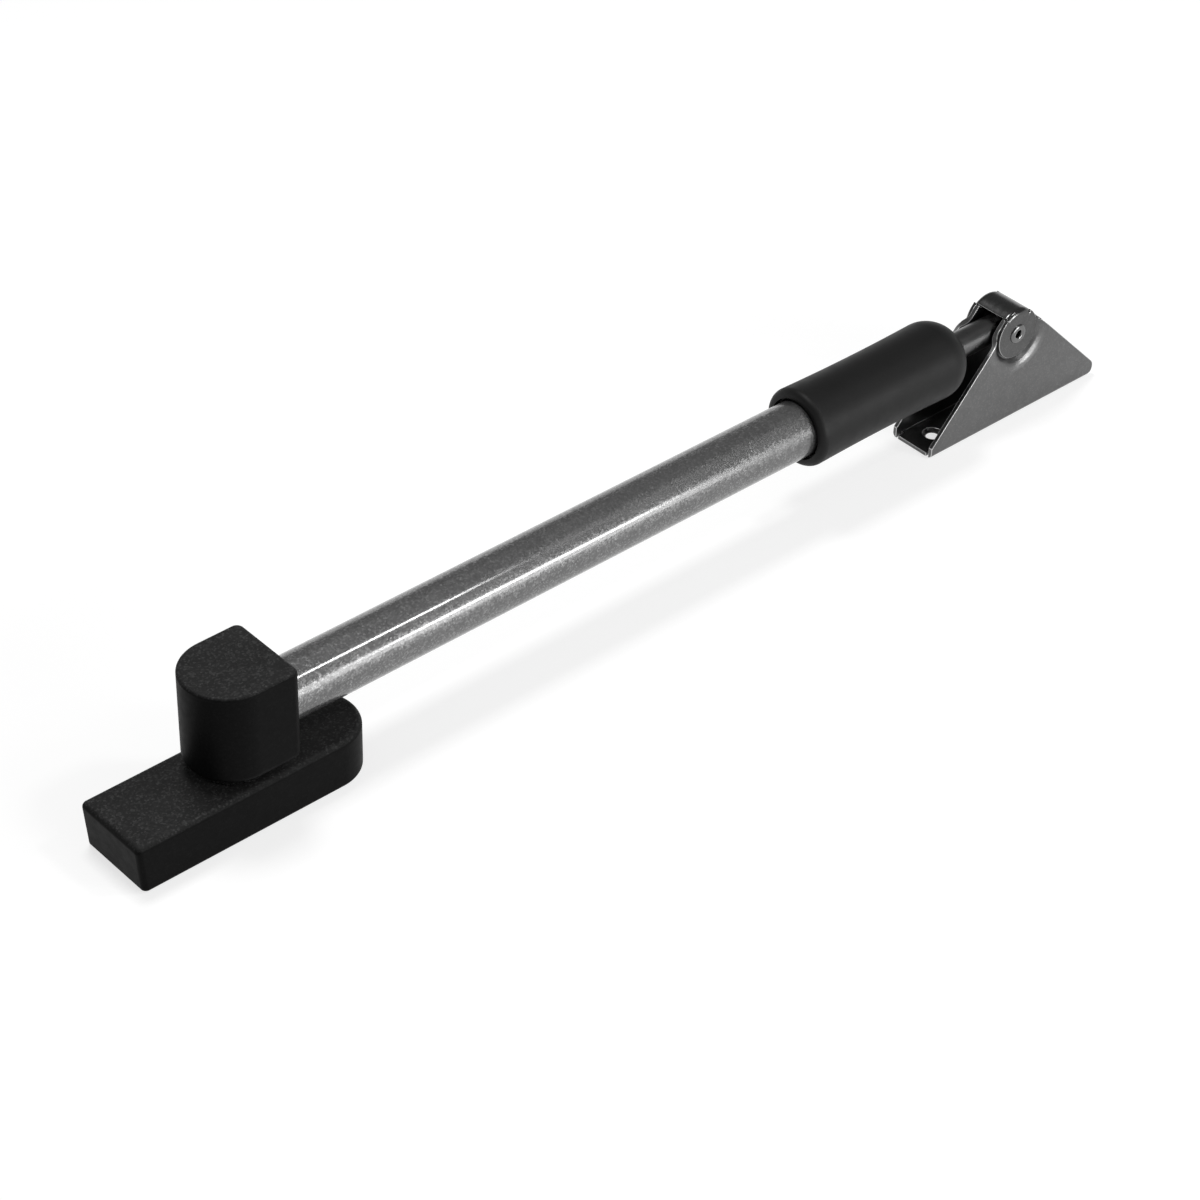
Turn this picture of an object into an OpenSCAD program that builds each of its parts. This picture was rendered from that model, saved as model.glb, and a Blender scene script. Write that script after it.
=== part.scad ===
// Telescopic window stay. A black moulded foot carries a D-shaped swivel block. A painted tube
// leaves the block, a steel rod slides in it, and a rubber twist grip locks the rod. The rod ends
// in a folded steel bracket that pivots on a hollow rivet.
// X runs along the tube towards the bracket, Z is up, and the origin is where the swivel axis
// meets the mounting plane. The stay is modelled closed, with both feet on the mounting plane.

/* [Foot] */
// Length of the foot
base_len = 72; // [66:0.5:90]
// Width of the foot
base_w = 23.4; // [22.5:0.1:30]
// Height of the foot
base_h = 13.8; // [12.5:0.1:18]
// Wall of the foot at its sides
base_wall = 2.2; // [1.6:0.1:2.8]
// Roof of the foot
base_roof = 2.4; // [1.6:0.1:3.2]
// Radius of the edge round the top of the foot and of the two upright corners at its square end
base_edge = 1.5; // [0.5:0.1:2]
// Distance that the square end leans in at the bottom
end_lean = 1.2; // [0.4:0.1:3]
// Thickness of the ribs inside the foot
rib_t = 1.4; // [1:0.1:2]
// Height of the ribs above the mounting plane
rib_lift = 3; // [2:0.1:4]
// Distance between the two fixing screws of the foot
screw_pitch = 52; // [48:0.5:56]
// Outside diameter of a threaded insert
insert_d = 7; // [6.4:0.1:8]
// Length of a threaded insert
insert_h = 8; // [6:0.1:9]
// Core diameter of the thread in an insert
insert_bore = 4.2; // [3.3:0.1:4.4]

/* [Swivel] */
// Diameter of the raised collar under the block
collar_d = 17.4; // [16.5:0.1:22]
// Height of the raised collar
collar_h = 1.2; // [0.8:0.1:2]
// Thickness of the thrust washer
thrust_t = 1.7; // [1:0.1:2.5]
// Diameter of the pivot screw's shoulder
shoulder_d = 8; // [7:0.1:9]
// Wall of the bush that the shoulder turns in
bush_wall = 1.4; // [1:0.1:2]
// Thickness of the bush's flange
bush_flange = 1; // [0.8:0.1:1.4]
// Diameter of the pivot screw's head
head_d = 13; // [12.5:0.1:14]
// Height of the pivot screw's head
head_h = 2.8; // [2.2:0.1:3.2]
// Thread diameter of the pivot screw
thread_d = 6; // [5:0.1:6.4]
// Width across the flats of the pivot screw's socket
socket_af = 4; // [3:0.5:5]
// Thickness of the disc spring
spring_t = 0.4; // [0.3:0.05:0.6]
// Height of the disc spring as fitted
spring_h = 0.8; // [0.7:0.05:1]

/* [Block] */
// Width of the block
block_w = 24.2; // [22:0.1:28]
// Distance from the swivel axis to the block's flat face
block_reach = 12.2; // [11:0.1:16]
// Material below the tube
block_floor = 2.9; // [2:0.1:5]
// Material above the tube
block_cover = 7.3; // [3:0.1:10]
// Radius of the edge round the top of the block
block_edge = 0.9; // [0.3:0.1:1.5]
// Radius of the edge round the foot of the block
block_foot_edge = 2; // [0.5:0.1:2.4]
// Radius of the upright corners beside the flat face
block_corner = 2.1; // [2:0.1:3]

/* [Tube] */
// Outside diameter of the tube
tube_d = 16; // [15:0.1:18]
// Wall of the tube
tube_wall = 1; // [0.8:0.1:1.5]
// Length of tube that shows between the block and the grip
tube_show = 173.4; // [150:0.2:260]
// Length of tube behind the swivel axis
tube_tail = 8; // [6:0.1:9]
// Length of tube inside the grip
tube_in_grip = 14; // [10:0.1:18]
// Length of the plug in front of the swivel axis
plug_reach = 17; // [14:0.1:24]

/* [Grip] */
// Diameter of the grip at its ends
grip_d = 22.4; // [22:0.1:28]
// How much the grip narrows in radius at its waist
grip_waist = 0.35; // [0:0.05:0.6]
// Length of the grip, to the tip that its dome would have without the rod
grip_len = 60.2; // [56:0.2:80]
// Thickness of the rubber at the waist
rubber_t = 1.5; // [1:0.1:1.8]
// Radius of the rounding at the rod's end of the grip
dome_r = 9.5; // [8:0.1:10]
// Radius of the lip at the tube's end of the grip
lip_r = 2; // [1:0.1:2.2]
// Gap between the tube and the grip's mouth
mouth_gap = 0.8; // [0.5:0.1:1]
// Outside diameter of the thread that the grip turns on
clamp_thread_d = 14; // [13.4:0.1:14.4]
// Length of that thread
clamp_thread_len = 12; // [10:0.1:14]
// Length of the slit cone that closes on the rod
cone_len = 10; // [8:0.1:12]
// Diameter of the cone at its tip
cone_tip_d = 10.4; // [10:0.1:11]
// Width of the slits in the cone
slit_w = 1; // [0.6:0.1:1.4]

/* [Rod] */
// Diameter of the rod
rod_d = 8; // [7:0.1:8.4]
// Length of the guide on the rod's inner end
guide_len = 16; // [12:0.5:24]
// Thickness of the retaining clips
clip_t = 1; // [0.8:0.1:1.4]
// Depth of the clip grooves
groove_depth = 0.5; // [0.3:0.1:0.8]
// Length of rod beyond the last clip
rod_tip = 1.5; // [1:0.1:3]
// Distance from the grip's end to the rivet, closed
pin_gap = 20; // [19:0.2:30]
// Thickness of the flat at the rod's eye
tang_t = 4; // [3:0.1:5]
// Distance from the rivet at which the round rod ends
tang_len = 4.8; // [4.4:0.1:5.2]

/* [Bracket] */
// Width of the bracket
foot_w = 14.8; // [14.6:0.1:16]
// Thickness of the bracket's sheet
sheet_t = 1.2; // [1.1:0.05:1.25]
// Distance from the rivet to the bracket's front edge
foot_front = 32.3; // [28:0.1:40]
// Angle of the cheeks' front slope
front_slope = 47.5; // [45:0.5:48]
// Angle of the cheeks' back slope
back_slope = 44.7; // [42:0.1:50]
// Radius of the cheeks' back corner
back_corner = 3; // [1.5:0.1:5]
// Outside radius of the folds
fold_r = 1.5; // [1.4:0.1:2]
// Radius between the pressed seat and its slope, on the outside of the sheet
press_root = 0.6; // [0.3:0.1:1]
// Radius between the slope and the cheek, on the outside of the sheet
press_rim = 2.4; // [1.8:0.1:2.8]
// Angle of the slope round the pressed seat
press_angle = 50; // [46:1:60]
// Diameter of the cheeks' round tops
top_d = 14.8; // [14.4:0.1:15]
// Distance between the two fixing screws of the bracket
foot_pitch = 45; // [40:0.5:48]
// Distance from the front edge to the first screw
foot_screw = 8.3; // [7:0.1:10]
// Diameter of the screw holes
foot_hole_d = 3.8; // [3.2:0.1:4.2]
// Diameter of the countersinks at the surface
sink_d = 5.8; // [5:0.1:6]

/* [Saddle and rivet] */
// Diameter of the saddle's ears
ear_d = 15; // [14.8:0.1:15.2]
// Thickness of the saddle's strip
strip_t = 1; // [0.8:0.05:1.1]
// Angle of the saddle's front edge round the rivet, from X towards Z
strip_front = 128; // [115:1:130]
// Angle of the saddle's back edge round the rivet, from X towards Z
strip_back = 50; // [40:1:65]
// Outside radius of the saddle's bends
bend_r = 1.6; // [1.2:0.1:2]
// Diameter of the rivet
rivet_d = 4; // [3.5:0.1:4.5]
// Diameter of the hole through the rivet
rivet_bore = 2.2; // [1.8:0.1:2.6]
// Diameter of the rivet's rolled heads
rivet_head_d = 5.8; // [5.2:0.1:6.4]
// Height of the rivet's heads
rivet_head_h = 0.6; // [0.4:0.1:0.9]
// Diameter of the spacers beside the eye
spacer_d = 7.6; // [7:0.1:8]

/* [Hidden] */
$fn = 72;

// Clearances
run_gap = 0.05;
push_gap = 0.05;
seat_gap = 0.1;
free_gap = 0.3;
cut = 1;

// Foot
base_left = -base_len / 2;
foot_lean = atan(end_lean / base_h);
edge_shift = base_edge / tan((90 - foot_lean) / 2);
round_x = base_len / 2 - base_w / 2;
pocket_left = base_left + end_lean + base_wall;
pocket_w = base_w - 2 * base_wall;
collar_top = base_h + collar_h;
block_bottom = collar_top + thrust_t;
bush_bore_r = shoulder_d / 2 + run_gap;
bush_r = bush_bore_r + bush_wall;
boss_r = bush_r + 2.4;
flange_r = bush_r + 1.6;
head_top = base_h - base_roof - 6;
spring_top = head_top + spring_h;
flange_top = spring_top + bush_flange;
insert_wall = 1.6;

// Tube and block
tube_r = tube_d / 2;
bore_r = tube_r - tube_wall;
axis_h = block_bottom + block_floor + tube_r;
block_h = block_floor + tube_d + block_cover;
thread_top = axis_h + bore_r - 1.5;
grip_start = block_reach + tube_show;
grip_end = grip_start + grip_len;
tube_end = grip_start + tube_in_grip;
pin_x = grip_end + pin_gap;

// Grip and clamp
grip_r = grip_d / 2;
waist_r = grip_r - grip_waist;
core_r = waist_r - rubber_t;
mouth_r = tube_r + mouth_gap;
core_start = grip_start + lip_r;
core_bore_r = tube_r + mouth_gap / 2;
core_end = grip_end - 3.8;
core_nose_r = rod_d / 2 + 2.4;
rod_clear_r = rod_d / 2 + 0.4;
spigot_len = 8;
collet_start = tube_end - spigot_len;
collar_end = tube_end + 3;
thread_end = collar_end + clamp_thread_len;
cone_end = thread_end + cone_len;
cone_root_r = clamp_thread_d / 2 - 0.6;
wiper_h = 2.4;
wiper_r = rod_d / 2 + 1.8;
wiper_x = core_end - 5.4;

// Rod
rod_r = rod_d / 2;
rod_start = plug_reach + free_gap;
clip_x = rod_start + rod_tip;
guide_start = clip_x + clip_t;
guide_end = guide_start + guide_len;
groove_r = rod_r - groove_depth;
clip_r = rod_r + 1.8;
guide_r = bore_r - run_gap - 0.02;

// Bracket, across its width
boss_in = rod_r + free_gap;
boss_out = boss_in + sheet_t;
ear_out = boss_out + strip_t;
cheek_out = foot_w / 2;
recess = cheek_out - boss_out;
recess_r = ear_d / 2 + 0.15;
slope_rise = recess - (press_root + press_rim) * (1 - cos(press_angle));
press_reach = recess_r + (press_root + press_rim) * sin(press_angle) + slope_rise / tan(press_angle);

// Bracket, along its length
top_r = top_d / 2;
front_x = pin_x - foot_front;
front_tangent = [pin_x - top_r * sin(front_slope), axis_h + top_r * cos(front_slope)];
back_tangent = [pin_x + top_r * sin(back_slope), axis_h + top_r * cos(back_slope)];
front_knee = front_tangent[1] - (front_tangent[0] - front_x) * tan(front_slope);
back_tip = back_tangent[0] + back_tangent[1] / tan(back_slope);
back_round = back_corner / tan(back_slope / 2);
plate_back = back_tip - back_round;
hole_x = front_x + foot_screw;
strip_in = ear_d / 2 - strip_t;

// Rectangle that stands on the X axis, centred, with its own radius at the foot and at the top
module rounded_panel(w, h, foot_r, head_r) {
    inner_w = w - 2 * max(foot_r, head_r);
    translate([-inner_w / 2, 0]) square([inner_w, h]);
    translate([-w / 2, foot_r]) square([w, h - foot_r - head_r]);
    for (side = [-1, 1]) {
        if (foot_r > 0) {
            translate([side * (w / 2 - foot_r), foot_r]) circle(foot_r);
            translate([side > 0 ? inner_w / 2 - 0.01 : foot_r - w / 2, 0])
                square([w / 2 - foot_r - inner_w / 2 + 0.01, foot_r]);
        }
        if (head_r > 0) {
            translate([side * (w / 2 - head_r), h - head_r]) circle(head_r);
            translate([side > 0 ? inner_w / 2 - 0.01 : head_r - w / 2, h - head_r])
                square([w / 2 - head_r - inner_w / 2 + 0.01, head_r]);
        }
    }
}

// The half of a flat shape that lies right of the Y axis, ready to be turned
module right_half(reach) {
    intersection() {
        children();
        translate([0, -reach]) square([reach, 3 * reach]);
    }
}

// Solid of revolution round the tube's axis, from points of radius and distance along X
module turned(points) {
    translate([0, 0, axis_h]) rotate([0, 90, 0]) rotate_extrude() polygon(points);
}

// Cylinder round the tube's axis
module along_x(r, x0, x1) {
    translate([x0, 0, axis_h]) rotate([0, 90, 0]) cylinder(r = r, h = x1 - x0);
}

// Cylinder round the rivet's axis, or a cone where the second radius differs
module across_y(r0, r1, y0, y1) {
    translate([pin_x, y0, axis_h]) rotate([-90, 0, 0]) cylinder(r1 = r0, r2 = r1, h = y1 - y0);
}

// Outside of the foot
module foot_form() {
    intersection() {
        union() {
            translate([base_left - cut, 0, 0]) rotate([90, 0, 90])
                linear_extrude(round_x - base_left + cut) rounded_panel(base_w, base_h, 0, base_edge);
            translate([round_x, 0, 0])
                rotate_extrude() right_half(base_len) rounded_panel(base_w, base_h, 0, base_edge);
        }
        rotate([90, 0, 0]) linear_extrude(2 * base_w, center = true) union() {
            polygon([[base_left + end_lean, 0],
                     [base_len, 0],
                     [base_len, base_h],
                     [base_left + edge_shift, base_h],
                     [base_left + edge_shift * sin(foot_lean), base_h - edge_shift * cos(foot_lean)]]);
            translate([base_left + edge_shift, base_h - base_edge]) circle(base_edge);
        }
    }
}

// Cutter that rounds the two upright corners at the square end, leaning as the end does
module end_corners() {
    reach = base_edge + cut;
    for (side = [0, 1])
        mirror([0, side, 0])
            translate([base_left + edge_shift, base_w / 2 - base_edge, base_h - base_edge])
                difference() {
                    union() {
                        translate([-reach, 0, 0]) cube(reach);
                        rotate([0, -foot_lean, 0]) translate([-reach, 0, -2 * base_h])
                            cube([reach, reach, 2 * base_h + base_edge / 2]);
                    }
                    sphere(base_edge);
                    rotate([0, -foot_lean, 0]) translate([0, 0, -3 * base_h])
                        cylinder(r = base_edge, h = 3 * base_h);
                }
}

module base_housing() {
    color("#1d1d1e")
    difference() {
        union() {
            difference() {
                foot_form();
                end_corners();
                // Hollow underside
                translate([0, 0, -cut]) linear_extrude(base_h - base_roof + cut) union() {
                    translate([pocket_left, -pocket_w / 2]) square([round_x - pocket_left, pocket_w]);
                    translate([round_x, 0]) circle(pocket_w / 2);
                }
            }
            // Collar under the thrust washer
            translate([0, 0, base_h - base_roof / 2])
                cylinder(d = collar_d, h = collar_h + base_roof / 2);
            // Boss for the bush
            translate([0, 0, flange_top])
                cylinder(r = boss_r, h = base_h - base_roof / 2 - flange_top);
            // Bosses for the inserts
            for (side = [-1, 1])
                translate([side * screw_pitch / 2, 0, 0])
                    cylinder(r = insert_d / 2 + insert_wall, h = base_h - base_roof / 2);
            foot_ribs();
        }
        translate([0, 0, flange_top - cut])
            cylinder(r = bush_r + push_gap, h = collar_top - flange_top + 2 * cut);
        translate([0, 0, flange_top - base_h])
            cylinder(r = flange_r + free_gap, h = base_h);
        for (side = [-1, 1])
            translate([side * screw_pitch / 2, 0, -cut])
                cylinder(r = insert_d / 2 + push_gap, h = insert_h + 1 + cut);
    }
}

// One rib along the foot and a rib across it on each side of the swivel
module foot_ribs() {
    rib_h = base_h - base_roof / 2 - rib_lift;
    rib_x = (boss_r + screw_pitch / 2 - insert_d / 2 - insert_wall) / 2;
    end_x = base_len / 2 - base_wall / 2;
    for (side = [-1, 1]) {
        translate([side > 0 ? boss_r - cut : base_left + end_lean + base_wall / 2, -rib_t / 2, rib_lift])
            cube([side > 0 ? end_x - boss_r + cut : -base_left - end_lean - base_wall / 2 - boss_r + cut,
                  rib_t, rib_h]);
        translate([side * rib_x - rib_t / 2, -base_w / 2 + base_wall / 2, rib_lift])
            cube([rib_t, base_w - base_wall, rib_h]);
    }
}

// Knurled brass inserts for the foot's fixing screws
module threaded_inserts() {
    color("#b8953f")
    for (side = [-1, 1])
        translate([side * screw_pitch / 2, 0, 0])
            difference() {
                union() {
                    cylinder(d = insert_d, h = insert_h * 0.35);
                    cylinder(d = insert_d - 0.8, h = insert_h * 0.65);
                    translate([0, 0, insert_h * 0.6]) cylinder(d = insert_d, h = insert_h * 0.4);
                }
                translate([0, 0, -cut]) cylinder(d = insert_bore, h = insert_h + 2 * cut);
            }
}

module base_bush() {
    color("#d9d4c6")
    difference() {
        union() {
            translate([0, 0, spring_top]) cylinder(r = flange_r, h = bush_flange);
            translate([0, 0, spring_top]) cylinder(r = bush_r, h = collar_top - spring_top);
        }
        translate([0, 0, spring_top - cut])
            cylinder(r = bush_bore_r, h = collar_top - spring_top + 2 * cut);
    }
}

module thrust_washer() {
    color("#161616")
    translate([0, 0, collar_top]) difference() {
        cylinder(d = collar_d, h = thrust_t);
        translate([0, 0, -cut]) cylinder(r = shoulder_d / 2 + free_gap, h = thrust_t + 2 * cut);
    }
}

// Shoulder screw that holds the block on the foot, put in from below
module pivot_screw() {
    chamfer = 0.5;
    color("#a9abad")
    difference() {
        rotate_extrude() polygon([[0, head_top - head_h],
                                  [head_d / 2 - chamfer, head_top - head_h],
                                  [head_d / 2, head_top - head_h + chamfer],
                                  [head_d / 2, head_top],
                                  [shoulder_d / 2, head_top],
                                  [shoulder_d / 2, block_bottom],
                                  [thread_d / 2, block_bottom],
                                  [thread_d / 2, thread_top - 2 * chamfer],
                                  [thread_d / 2 - 2 * chamfer, thread_top],
                                  [0, thread_top]]);
        translate([0, 0, head_top - head_h - cut])
            cylinder(d = socket_af / cos(30), h = head_h * 0.7 + cut, $fn = 6);
    }
}

// Disc spring that gives the swivel its friction
module disc_spring() {
    outer = head_d / 2 - 0.2;
    inner = shoulder_d / 2 + free_gap;
    color("#8f9194")
    rotate_extrude() polygon([[inner, spring_top - spring_t],
                              [outer, head_top],
                              [outer, head_top + spring_t],
                              [inner, spring_top]]);
}

// Outside of the block: a half round back, and a flat front with a rounded corner on each side
module block_form() {
    corner = max(block_corner, block_foot_edge + 0.05);
    flat = block_w / 2 - corner;
    rotate_extrude() right_half(block_h)
        rounded_panel(block_w, block_h, block_foot_edge, block_edge);
    rotate([90, 0, 90]) linear_extrude(block_reach - corner)
        rounded_panel(block_w, block_h, block_foot_edge, block_edge);
    rotate([90, 0, 0]) linear_extrude(2 * flat, center = true) right_half(block_h)
        rounded_panel(2 * block_reach, block_h, block_foot_edge, block_edge);
    for (side = [-1, 1])
        translate([block_reach - corner, side * flat, 0])
            rotate_extrude() right_half(block_h)
                rounded_panel(2 * corner, block_h, block_foot_edge, block_edge);
}

module swivel_block() {
    color("#1b1b1c")
    difference() {
        translate([0, 0, block_bottom]) block_form();
        along_x(tube_r + push_gap, -tube_tail - push_gap, block_reach + cut);
        translate([0, 0, block_bottom - cut])
            cylinder(r = thread_d / 2 + free_gap, h = block_floor + tube_wall + 2 * cut);
    }
}

// Plug in the tube's end, tapped across for the pivot screw
module tube_plug() {
    chamfer = 0.8;
    r = bore_r - push_gap;
    color("#c3c5c7")
    difference() {
        turned([[0, -tube_tail], [r, -tube_tail], [r, plug_reach - chamfer],
                [r - chamfer, plug_reach], [0, plug_reach]]);
        translate([0, 0, axis_h - tube_d]) cylinder(r = thread_d / 2 + push_gap, h = 2 * tube_d);
    }
}

module outer_tube() {
    color("#9a9ea2")
    difference() {
        along_x(tube_r, -tube_tail, tube_end);
        along_x(bore_r, -tube_tail - cut, tube_end + cut);
        translate([0, 0, axis_h - tube_d]) cylinder(r = thread_d / 2 + free_gap, h = tube_d);
    }
}

// Bush fixed in the tube's mouth: spigot, collar, thread and a slit cone that closes on the rod
module collet_bush() {
    bore = rod_r + run_gap;
    slit_start = collar_end + clamp_thread_len / 2;
    color("#e4e0d4")
    difference() {
        turned([[bore, collet_start], [bore_r - push_gap, collet_start],
                [bore_r - push_gap, tube_end], [tube_r, tube_end], [tube_r, collar_end],
                [clamp_thread_d / 2, collar_end], [clamp_thread_d / 2, thread_end],
                [cone_root_r, thread_end], [cone_tip_d / 2, cone_end], [bore, cone_end]]);
        for (turn = [0, 90])
            translate([slit_start, 0, axis_h]) rotate([turn, 0, 0])
                translate([0, -slit_w / 2, -tube_d])
                    cube([cone_end - slit_start + cut, slit_w, 2 * tube_d]);
    }
}

// Hard core of the grip: it runs over the tube, turns on the thread and closes the cone
module clamp_core() {
    thread_bore = clamp_thread_d / 2 + run_gap;
    seat_root = cone_root_r + free_gap;
    seat_tip = cone_tip_d / 2 + free_gap;
    nose_start = grip_end - dome_r - 1.2;
    color("#2a2a2c")
    difference() {
        turned([[core_bore_r, core_start], [core_r, core_start], [core_r, nose_start],
                [core_nose_r, core_end], [rod_clear_r, core_end], [rod_clear_r, cone_end + 1],
                [seat_tip, cone_end + 1], [seat_root, thread_end + 1], [thread_bore, thread_end + 1],
                [thread_bore, collar_end + 1], [core_bore_r, collar_end + 1]]);
        along_x(wiper_r, wiper_x, wiper_x + wiper_h);
    }
}

// Points of an arc, from one angle to another
function arc(centre, r, from, to, steps) =
    [for (i = [0:steps])
        let (a = from + (to - from) * i / steps)
            [centre[0] + r * cos(a), centre[1] + r * sin(a)]];

// Outside of the grip: a lip, a waist that follows a parabola, and a dome that stops at the rod
function grip_outline() =
    let (lip = grip_start + lip_r, dome = grip_end - dome_r, middle = (lip + dome) / 2,
         nose_turn = acos(max(0, rod_clear_r - grip_r + dome_r) / dome_r))
    concat(
        arc([grip_r - lip_r, lip], lip_r, -90, 0, 6),
        [for (i = [1:11])
            let (x = lip + (dome - lip) * i / 12, u = (x - middle) / (dome - middle))
                [waist_r + grip_waist * u * u, x]],
        arc([grip_r - dome_r, dome], dome_r, 0, nose_turn, 12));

module grip_sleeve() {
    nose_start = grip_end - dome_r - 1.2;
    color("#202021")
    turned(concat(
        grip_outline(),
        [[rod_clear_r, core_end], [core_nose_r, core_end],
         [core_r, nose_start], [core_r, core_start], [mouth_r, core_start],
         [mouth_r, grip_start]]));
}

// Rubber ring in the grip's nose that wipes the rod
module rod_wiper() {
    color("#101010")
    turned([[rod_r + run_gap, wiper_x + wiper_h * 0.3], [rod_r + run_gap, wiper_x + wiper_h * 0.7],
            [wiper_r - push_gap, wiper_x + wiper_h - push_gap], [wiper_r - push_gap, wiper_x + push_gap]]);
}

// Nylon guide on the rod's inner end, with a relief round its middle
module guide_bush() {
    relief = 0.6;
    land = guide_len / 4;
    color("#ded9cb")
    turned([[rod_r + run_gap, guide_start + run_gap], [guide_r, guide_start + run_gap],
            [guide_r, guide_start + land], [guide_r - relief, guide_start + land + relief],
            [guide_r - relief, guide_end - land - relief], [guide_r, guide_end - land],
            [guide_r, guide_end - run_gap], [rod_r + run_gap, guide_end - run_gap]]);
}

// Open clips in the rod's grooves, one on each side of the guide
module guide_clips() {
    color("#77797c")
    for (x = [clip_x, guide_end])
        difference() {
            along_x(clip_r, x, x + clip_t);
            along_x(groove_r, x - cut, x + clip_t + cut);
            translate([x - cut, -groove_r * 0.8, axis_h])
                cube([clip_t + 2 * cut, groove_r * 1.6, clip_r + cut]);
        }
}

// Sliding rod: two clip grooves at its inner end, and an eye milled flat at its outer end
module inner_rod() {
    chamfer = 0.6;
    color("#b9bcc0")
    difference() {
        union() {
            turned([[0, rod_start], [rod_r - chamfer, rod_start], [rod_r, rod_start + chamfer],
                    [rod_r, pin_x - tang_len], [0, pin_x - tang_len]]);
            intersection() {
                along_x(rod_r, pin_x - tang_len - cut, pin_x + rod_r);
                translate([pin_x - 2 * rod_d, -tang_t / 2, axis_h - rod_r])
                    cube([3 * rod_d, tang_t, rod_d]);
                union() {
                    across_y(rod_r, rod_r, -tang_t, tang_t);
                    translate([pin_x - 2 * rod_d, -tang_t, axis_h - rod_r])
                        cube([2 * rod_d, 2 * tang_t, rod_d]);
                }
            }
        }
        for (x = [clip_x, guide_end])
            difference() {
                along_x(rod_r + cut, x, x + clip_t);
                along_x(groove_r, x - cut, x + clip_t + cut);
            }
        across_y(rivet_d / 2 + run_gap, rivet_d / 2 + run_gap, -rod_d, rod_d);
    }
}

// Black washers that keep the eye in the middle of the bracket
module pivot_spacers() {
    inner = tang_t / 2 + run_gap;
    outer = boss_in - run_gap;
    color("#141414")
    for (side = [0, 1])
        mirror([0, side, 0]) difference() {
            across_y(spacer_d / 2, spacer_d / 2, inner, outer);
            across_y(rivet_d / 2 + push_gap, rivet_d / 2 + push_gap, inner - cut, outer + cut);
        }
}

// Side view of the bracket: two slopes that meet the round top at a tangent
module cheek_outline() {
    round_x0 = back_tip - back_round;
    slope_out = [back_tip - back_round * cos(back_slope), back_round * sin(back_slope)];
    polygon([[front_x, 0], [round_x0, 0], slope_out, back_tangent, front_tangent,
             [front_x, front_knee]]);
    polygon([[round_x0, 0], [round_x0, back_corner], slope_out]);
    translate([round_x0, back_corner]) circle(back_corner);
    translate([pin_x, axis_h]) circle(top_r);
}

// A wedge round the rivet from one angle to another, measured from X towards Z
module wedge(from, to, reach) {
    middle = (from + to) / 2;
    translate([pin_x, 0, axis_h]) rotate([90, 0, 0]) linear_extrude(4 * foot_w, center = true)
        polygon([[0, 0], reach * [cos(from), sin(from)], reach * 1.4 * [cos(middle), sin(middle)],
                 reach * [cos(to), sin(to)]]);
}

// Section of a pressed cheek from the rivet outwards: a seat, a slope with a round at each end, and
// the rim. The inside follows the outside one sheet thickness away.
function press_section() =
    let (root = [recess_r, boss_out + press_root], rim = [press_reach, cheek_out - press_rim])
    concat(
        [[0, boss_out]],
        arc(root, press_root, -90, press_angle - 90, 4),
        arc(rim, press_rim, press_angle + 90, 90, 6),
        arc(rim, press_rim - sheet_t, 90, press_angle + 90, 6),
        arc(root, press_root + sheet_t, press_angle - 90, -90, 4),
        [[0, boss_in]]);

// Folded sheet: a foot plate and two cheeks, each pressed in round the rivet to seat an ear
module hinge_bracket() {
    inner_fold = fold_r - sheet_t;
    color("#8d9093")
    difference() {
        union() {
            difference() {
                intersection() {
                    rotate([90, 0, 0]) linear_extrude(2 * foot_w, center = true) cheek_outline();
                    translate([front_x - cut, 0, 0]) rotate([90, 0, 90])
                        linear_extrude(back_tip - front_x + 2 * cut)
                            difference() {
                                rounded_panel(foot_w, 2 * axis_h, fold_r, 0);
                                translate([0, sheet_t])
                                    rounded_panel(foot_w - 2 * sheet_t, 2 * axis_h, inner_fold, 0);
                            }
                }
                plate_ends();
                foot_holes();
                across_y(press_reach, press_reach, -foot_w, foot_w);
            }
            // Pressed part of the cheeks
            intersection() {
                rotate([90, 0, 0]) linear_extrude(2 * foot_w, center = true) cheek_outline();
                for (side = [0, 1]) mirror([0, side, 0])
                    translate([pin_x, 0, axis_h]) rotate([-90, 0, 0])
                        rotate_extrude() polygon(press_section());
            }
        }
        across_y(rivet_d / 2 + push_gap, rivet_d / 2 + push_gap, -foot_w, foot_w);
        // Seat of the saddle's strip on top of the cheeks
        difference() {
            intersection() {
                across_y(ear_d, ear_d, -foot_w, foot_w);
                wedge(strip_back - 1, strip_front + 1, 3 * ear_d);
            }
            translate([pin_x, 0, axis_h]) rotate([90, 0, 0])
                rotate_extrude() right_half(ear_d) saddle_inside(seat_gap);
        }
    }
}

// Waste at both ends of the foot plate: its rounded corners and the slots beside the folds
module plate_ends() {
    slot = 0.8;
    slot_len = 2.2;
    plate_w = foot_w - 2 * sheet_t;
    for (side = [-1, 1]) {
        translate([front_x - cut, side * (plate_w / 2 - slot / 2) - slot / 2, -cut])
            cube([slot_len + cut, slot, sheet_t + 2 * cut]);
        translate([plate_back - slot_len, side * (plate_w / 2 - slot / 2) - slot / 2, -cut])
            cube([back_corner + slot_len + back_round, slot, sheet_t + 2 * cut]);
    }
    translate([plate_back, -plate_w / 2, -cut])
        cube([back_round + cut, plate_w, back_round]);
}

// Countersunk holes for the bracket's fixing screws
module foot_holes() {
    sink = (sink_d - foot_hole_d) / 2;
    for (x = [hole_x, hole_x + foot_pitch])
        translate([x, 0, 0]) {
            translate([0, 0, -cut]) cylinder(d = foot_hole_d, h = sheet_t + 2 * cut);
            translate([0, 0, sheet_t - sink])
                cylinder(d1 = foot_hole_d, d2 = foot_hole_d + 4 * sink, h = 2 * sink);
        }
}

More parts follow.
